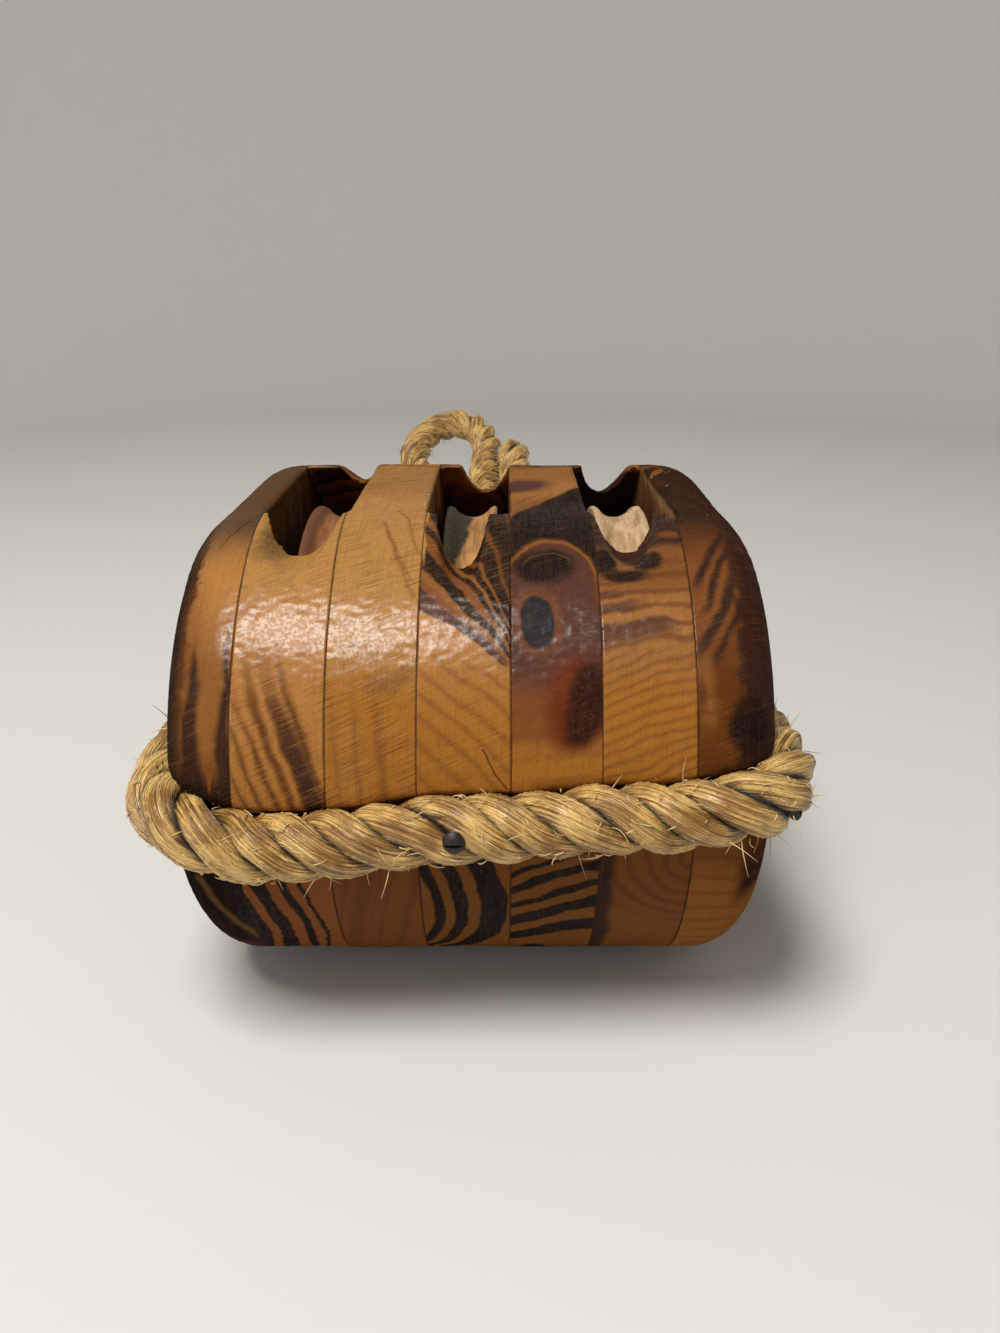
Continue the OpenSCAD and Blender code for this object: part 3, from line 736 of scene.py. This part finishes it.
def right_cheek_finish(w):
    """Russet with slanting dark streaks beside the glue line, nearly black over the top and round the outer
    edge, and tan again below the rope."""
    w.colour = w.mixed(w.up(34, 52), (0.10, 0.030, 0.005), RUSSET)
    w.paint(w.strip(w.px, 50.0, 1.8, 1.4) * w.up(44, 34) * w.up(20, 26) * 0.8, DUSKY)
    w.matt = 1 - w.up(74, 60) * w.ramp(w.px, 60, 56) * w.up(26, 38)
    w.paint(w.up(56, 72), BROWN)
    w.paint(w.up(66, 84), (0.022, 0.013, 0.008))
    rising = w.px - 0.48 * (w.ps - 38)
    for middle, half, foot, top in ((48.8, 1.3, 36, 62), (44.8, 1.0, 46, 72), (52.8, 0.8, 34, 62),
                                    (41.2, 1.1, 52, 80)):
        reach = w.up(foot, foot + 6) * w.up(top + 4, top - 8)
        w.paint(w.strip(rising, middle, half, 0.9) * reach, BURNT)
    w.paint(w.stripes(w.ps - 0.05 * w.px, 3.4, 0.3) * w.up(33, 27) * 0.6, BROWN)
    w.paint(w.spot(48.6, 30, 1.8, 3.4, 0, 0.4), BROWN)
    blotch = w.grain(w.at, 380, 3)
    w.paint(w.ramp(w.px + (blotch - 0.5) * 5 + w.up(60, 30) * 0.8, 56.6, 59.4) * w.ramp(w.s, -6, 6), BURNT)
    w.paint(w.spot(59, 24, 4.5, 6, 0, 0.3), CHAR)
    w.paint(w.up(17, 13) * w.ramp(w.px, 46, 56) * w.ramp(w.s, 0, 6), BURNT)
    # Dusky base below the rope: partly the wood's tone, partly painted shade under the rope
    w.paint(w.under, DUSKY)
    w.paint(w.under * w.ramp(w.px, 57, 61) * w.up(-24, -16), BURNT)
    # Darker band just below the rope: painted shadow of the rope
    w.paint(w.under * w.up(-12, -4) * 0.5, BROWN)
    w.paint(w.under * w.stripes(w.ps + 0.02 * (w.px - 50) * (w.px - 50), 5.2, 0.25) * 0.4, BROWN)
    w.paint(w.spot(51.6, 131, 1.3, 5, 25, 0.3) * 0.8, DUSKY)
    # Pale flecks over the dark top: painted glints of the varnish
    painted_glint_flecks = w.ramp(w.grain(w.at, 700, 1), 0.76, 0.79) * w.ramp(w.s, 74, 80)
    w.paint(painted_glint_flecks, (0.8, 0.78, 0.74))
    return w.varnished(w.year_rings((0.05, -0.05, 0.06), (0.8, 0.5, 0), 0.0050, 0.38), 0.2,
                       wall=(0.26, 0.13, 0.05), scoop=(0.42, 0.24, 0.10), wall_from=w.low, pared=2.6)


EDGES = (SHELL_LEFT - 0.01, *GLUE_LINES, SHELL_RIGHT + 0.01)
WHOLE, HALVED = {"": 0}, {"tail_": -1, "crown_": 1}
BOARDS = (
    (left_cheek_finish, "left_cheek_pine", "left_cheek", WHOLE),
    (left_slot_finish, "left_slot_pine", "filler_left", HALVED),
    (left_partition_finish, "left_partition_pine", "left_partition", WHOLE),
    (centre_slot_finish, "centre_slot_pine", "filler_centre", HALVED),
    (right_partition_finish, "right_partition_pine", "right_partition", WHOLE),
    (right_slot_finish, "right_slot_pine", "filler_right", HALVED),
    (right_cheek_finish, "right_cheek_pine", "right_cheek", WHOLE),
)
for (finish, pine, name, parts), low, high in zip(BOARDS, EDGES, EDGES[1:]):
    wood = finish(Plank(pine, low, high))
    for end, side in parts.items():
        node = end + name
        board = sawn(node + "_board", low, high, side)
        board.data.materials.append(wood)
        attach(board, "shell")
        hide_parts(node)
bpy.data.objects.remove(shell)


# Three wooden sheaves, turned with a shallow groove between two narrow lands, loose on the pin: the left
# one has slid against its right-hand board. It is red-brown and smooth, with a painted shadow on its left
# side; the centre one is very dark on its left side and tan elsewhere, and the right one raw pale wood with
# the marks of a blunt tool.
SHEAVE_X = {"left": -0.0356, "centre": 0.0, "right": 0.0389}
SHEAVE_R, SHEAVE_HALF, BORE_R = 0.050, 0.00675, 0.00605
GROOVE_HALF, GROOVE_DEPTH, RIM_FROM = 0.0052, 0.003, 0.0465


def sheave_profile():
    """Half section of a sheave, as (distance from the pin's line, distance along it), all the way round:
    one land, the groove, the other land, one side with half of the bore, and the other."""
    land = (SHEAVE_HALF - GROOVE_HALF) / 2
    groove_r = (GROOVE_HALF ** 2 + GROOVE_DEPTH ** 2) / (2 * GROOVE_DEPTH)
    reach = math.asin(GROOVE_HALF / groove_r)
    rim = [(SHEAVE_R - land + land * math.sin(a), -SHEAVE_HALF + land - land * math.cos(a))
           for a in np.linspace(0, math.pi * 0.8, 7)]
    groove = [(SHEAVE_R - GROOVE_DEPTH + groove_r * (1 - math.cos(a)), groove_r * math.sin(a))
              for a in np.linspace(-reach * 0.93, reach * 0.93, 15)]
    flank = [*((r, SHEAVE_HALF) for r in (0.046, 0.038, 0.028, 0.018, 0.010, BORE_R)), (BORE_R, 0.0025)]
    back = [[(r, -x) for r, x in side[::-1]] for side in (rim, flank)]
    return [*rim, *groove, *back[0], *flank, *back[1], rim[0]]


def sheave_finish(name, middle, light, dark, left, marks, left_reach, lean):
    """Turned wood: light and dark streaks, a third tone on the left side, whose edge leans to the right
    higher up, and tool marks of this strength."""
    wood = Finish("sheave_" + name + "_wood")
    at = wood.node("TexCoord", out=3)
    x, y, z = (wood.node("SeparateXYZ", None, {0: at}, out=k) for k in range(3))
    patch = wood.grain(at, 110, 3, 0.6)
    streak = wood.grain(at, (900, 120, 120))
    fibre = wood.grain(at, (300, 2200, 2200))
    colour = wood.mixed(wood.ramp(streak * 0.6 + patch * 0.6, 0.45, 0.75), light, dark)
    aside = (x - middle) * 1000 + (patch - 0.5) * 5 - (z * 1000 - 43.5) * lean
    colour = wood.mixed(wood.ramp(aside, left_reach + 0.8, left_reach - 0.8), colour, left)
    colour = wood.mixed(wood.ramp(fibre, 0.5, 0.75) * 0.35, colour, dark)
    slits = wood.ramp(wood.grain(at, (180, 1500, 1500), 1), 0.70, 0.76) * marks
    colour = wood.mixed(slits, colour, dark)
    bump = wood.node("Bump", None, {"Strength": marks, "Distance": 0.0006,
                                    "Height": wood.grain(at, 700, 3) + streak * 0.8 + fibre * 0.4 - slits})
    return wood.surface(colour, 0.5 + 0.2 * fibre, Normal=bump, **{"Specular IOR Level": 0.25})


for name, rough, *look in (
    # The left sheave's third tone, on its left side, is a painted shadow
    ("left", 0.00004, (0.31, 0.125, 0.045), (0.18, 0.066, 0.022), (0.15, 0.06, 0.024), 0.2, -3.6, 0),
    ("centre", 0.00010, (0.52, 0.27, 0.085), (0.26, 0.13, 0.045), (0.030, 0.025, 0.014), 0.3, -2.6, 0.68),
    ("right", 0.00026, (0.66, 0.46, 0.28), (0.42, 0.25, 0.12), (0.58, 0.40, 0.22), 0.9, -4.5, 0),
):
    place = SHEAVE_X[name]

    def worn(radius, along, angle):
        y, z = radius * math.cos(angle), radius * math.sin(angle)
        chatter = noise.noise(Vector((along * 240, y * 330, z * 330)))
        radius += rough * chatter * (radius > RIM_FROM)
        return place + along, radius * math.cos(angle), radius * math.sin(angle)

    sheave = new_piece("sheave_" + name + "_turned", *lathed(sheave_profile(), 270, worn))
    weld = sheave.modifiers.new("weld", "WELD")
    weld.merge_threshold = 0.00001
    settle(sheave)
    sheave.data.materials.append(sheave_finish(name, place, *look))
    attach(sheave, "sheave_" + name)
    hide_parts("sheave_" + name)


# The pin: a bright steel rod, 12 mm thick, pressed into blind holes in the cheeks. It passes through the
# boards and carries the sheaves, and keeps the shape that it has in the solids.
steel = Finish("pin_steel")
drawn = steel.grain(steel.node("TexCoord", out=3), (40, 2500, 2500), 2)
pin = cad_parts["sheave_pin"]
pin.data.materials.clear()
pin.data.materials.append(steel.surface((0.55, 0.56, 0.58), 0.22 + 0.25 * drawn, Metallic=1.0))


# The strop is three-strand manila, right-laid: three strands wound round each other once in 32 mm,
# each a bundle of coarse yarns that twist the other way. Loose fibres stand out all along it.
LAY, STRAND_AT, STRAND_R = 0.032, 0.0036, 0.0037
YARNS, YARN_RIDGE, YARN_LUMP = 9, 0.06, 0.17


def laid(path, closed, lay, strand_at, strand_r, sides, first=(0, 0, 1)):
    """Three strands wound to the right round a line. Gives their corners and faces and, for every corner,
    its yarn place (how far along, then the cosine and sine of its turn round the strand) and how much it
    faces out of the rope."""
    along, side, up = frames(path, closed, first)
    steps = np.linalg.norm(np.diff(np.vstack([path, path[:1]]), axis=0), axis=1)
    length = steps.sum() if closed else steps[:-1].sum()
    at = np.concatenate([[0], np.cumsum(steps)[:-1]])
    turns = round(length / lay * 3) / 3 if closed else length / lay
    shift = round(turns * 3) % 3 if closed else 0
    spin = 2 * math.pi * turns / length * strand_at
    twist = round(0.8 * spin / strand_r * length * YARNS / (2 * math.pi)) * 2 * math.pi / YARNS / length
    turn = np.linspace(0, 2 * math.pi, sides, endpoint=False)
    corners, faces, places, facing = [], [], [], []
    slack = np.array([noise.noise(Vector((a * 45, 3.1, 0.4))) * 0.3 for a in at])
    for strand in range(3):
        angle = 2 * math.pi * (at / length * turns + strand / 3) + slack
        out = np.cos(angle)[:, None] * side + np.sin(angle)[:, None] * up
        way = along + spin * np.cross(along, out)
        way /= np.linalg.norm(way, axis=1)[:, None]
        rise = np.cross(way, out)
        phase = turn[None, :] + twist * at[:, None]
        where = np.broadcast_to((at + strand * 7.3)[:, None], phase.shape)
        place = np.stack([where, np.cos(phase), np.sin(phase)], axis=-1)
        lumps = np.array([noise.noise(Vector((a * 150, c * 1.6, s * 1.6))) + 0.4 * noise.noise(
            Vector((a * 260, c * 5, s * 5))) for a, c, s in place.reshape(-1, 3)]).reshape(phase.shape)
        ridges = 1 - YARN_RIDGE + YARN_RIDGE * np.abs(np.cos(phase * YARNS / 2)) * 2 ** 0.5
        wide = strand_r * (1 + YARN_LUMP * lumps) * ridges
        corners.append((path + strand_at * out)[:, None] + wide[:, :, None] * (
            np.cos(turn)[None, :, None] * out[:, None] + np.sin(turn)[None, :, None] * rise[:, None]))
        places.append(place)
        facing.append(np.broadcast_to(np.cos(turn)[None, :], phase.shape))
        base = strand * len(path) * sides
        target = (strand + shift) % 3 * len(path) * sides
        faces += [tuple(base + k for k in face) for face in skin(len(path), sides, closed, target - base)]
    return (np.concatenate(corners).reshape(-1, 3), faces, np.concatenate(places).reshape(-1, 3),
            np.concatenate(facing).ravel())


def roped(name, corners, faces, places, facing):
    """A piece of rope that carries its yarns' places for its finish."""
    piece = new_piece(name, corners, faces)
    piece.data.attributes.new("yarn", "FLOAT_VECTOR", "POINT").data.foreach_set("vector", places.ravel())
    piece.data.attributes.new("facing", "FLOAT", "POINT").data.foreach_set("value", facing.ravel())
    return piece


def manila(name, light, middle, deep, fine=1.0):
    """Rope finish: pale and golden fibres along each yarn, and brown painted shade where the strands meet
    and turn in under each other. The light tone is partly the fibres' colour and partly painted highlight.
    """
    fibre = Finish(name)
    place = fibre.node("Attribute", {"attribute_name": "yarn"}, out=1)
    facing = fibre.node("Attribute", {"attribute_name": "facing"}, out=2)
    at = fibre.node("TexCoord", out=3)
    strand = fibre.grain(place, (110, 7 * fine, 7 * fine), 3, 0.65)
    hair = fibre.grain(place, (160, 22 * fine, 22 * fine), 2)
    tone = fibre.grain(at, 130, 2)
    colour = fibre.mixed(fibre.ramp(strand + (tone - 0.5) * 0.8, 0.34, 0.64), middle, light)
    colour = fibre.mixed(fibre.ramp(hair, 0.5, 0.36) * 0.7, colour, deep)
    colour = fibre.mixed(fibre.ramp(strand, 0.44, 0.28) * 0.7, colour, deep)
    # Painted shade: the strands darken where they face into the rope, between each other
    colour = fibre.mixed(fibre.ramp(facing + (strand - 0.5) * 0.5, 0.55, 0.0), colour, deep)
    bump = fibre.node("Bump", None, {"Strength": 1.0, "Distance": 0.0008, "Height": strand + hair * 0.8})
    return fibre.surface(colour, 0.3 + 0.2 * hair, Normal=bump, **{
        "Coat Weight": 0.5 * fibre.ramp(hair, 0.42, 0.62), "Coat Roughness": 0.3,
        "Specular IOR Level": 0.6})


# The rope's ends are joined this far round, behind the crown, where no one looks
JOIN_AT = 0.42
strop_path = np.roll(strop_path, -int(len(strop_path) * JOIN_AT), axis=0)
rope = roped("strop_rope", *laid(strop_path, True, LAY, STRAND_AT, STRAND_R, 30))
# The lightest tone is partly the manila's colour and partly painted highlight
golden = manila("manila", (0.95, 0.605, 0.195), (0.37, 0.17, 0.027), (0.028, 0.011, 0.002))
rope.data.materials.append(golden)
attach(rope, "shell")
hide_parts("strop")

# Loose fibres: a little over half of them lie along the rope, and the rest stand out from it
FIBRES, FLAT_SHARE, FLAT_R, RAISED_R, LONG_SHARE = 1900, 0.55, 0.00019, 0.00014, 0.08
draw = random.Random(11)
hair_corners, hair_faces = [], []
along, side, up = frames(strop_path, True)
for _ in range(FIBRES):
    i = draw.randrange(len(strop_path))
    angle = draw.uniform(0, 2 * math.pi)
    out = side[i] * math.cos(angle) + up[i] * math.sin(angle)
    flat = draw.random() < FLAT_SHARE
    root = strop_path[i] + out * ROPE_R * (1.0 if flat else 0.93)
    drift = along[i] * draw.uniform(-1.4, 1.4) + np.cross(along[i], out) * draw.uniform(-1.1, 1.1)
    reach = draw.uniform(0.0015, 0.0065) * (1.6 if draw.random() < LONG_SHARE else 1)
    bend = np.array([draw.uniform(-1, 1) for _ in range(3)]) * 0.6
    lift, curl, droop = (0.3, 0.25, 0.33) if flat else (0.65, 1, 0)
    hair = [root + reach * (t * (lift * out + drift * 0.6) + t * t * (bend * curl - out * droop))
            for t in np.linspace(0, 1, 6)]
    made, found = tube(np.array(hair), FLAT_R if flat else RAISED_R, 3, False, tuple(out + 0.01),
                       spread=[1, 1, 0.9, 0.75, 0.5, 0.2])
    hair_faces += [tuple(len(hair_corners) * len(made) + k for k in face) for face in found]
    hair_corners.append(made)
hairs = new_piece("strop_fibres", np.vstack(hair_corners), hair_faces)
loose = Finish("loose_fibre")
pale = loose.grain(loose.node("TexCoord", out=3), 500, 2)
# The pale end of the fibres' tone is partly their colour and partly painted glints
hairs.data.materials.append(loose.surface(loose.mixed(pale, (0.42, 0.24, 0.07), (0.95, 0.74, 0.38)),
                                          0.35 + 0.2 * pale))
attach(hairs, "shell")


# The seizing: seven turns of hard-laid twine round the two legs, close behind the throat. It is made of
# three small strands like the rope, and holds the legs together so that the strop stays in its score.
TWINE_R, TWINE_LAY, TURNS, TURN_STEPS, TURN_PITCH = 0.00125, 0.0065, 7, 24, 0.0031
SEIZING_R, SEIZING_Y = 0.0084, 0.09925
winding = []
for step in range(TURN_STEPS * TURNS):
    angle = 2 * math.pi * (step + 0.5) / TURN_STEPS
    across = LEG_HALF if math.cos(angle) > 0 else -LEG_HALF
    winding.append((LEG_X + across + SEIZING_R * math.cos(angle),
                    SEIZING_Y + TURN_PITCH * step / TURN_STEPS, ROPE_Z + SEIZING_R * math.sin(angle)))
strands = laid(evenly(winding, 0.0007, False), False, TWINE_LAY, TWINE_R * 0.5, TWINE_R * 0.55, 8, (0, 1, 0))
seizing = roped("throat_seizing_twine", *strands)
brown = manila("twine", (0.52, 0.37, 0.17), (0.30, 0.17, 0.06), (0.07, 0.035, 0.01), 0.5)
seizing.data.materials.append(brown)
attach(seizing, "shell")
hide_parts("throat_seizing")


# Two round-head wood screws of blackened steel hold the rope in its score, one at the tail and one at the
# right corner. They keep the shape that they have in the solids.
iron = Finish("screw_iron")
rust = iron.grain(iron.node("TexCoord", out=3), 900, 3)
blackened = iron.surface(iron.mixed(rust, (0.012, 0.012, 0.012), (0.06, 0.045, 0.035)), 0.35 + 0.3 * rust,
                         Metallic=0.6)
for node in ("tail_screw", "corner_screw"):
    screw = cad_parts[node]
    screw.data.materials.clear()
    screw.data.materials.append(blackened)

low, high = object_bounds()
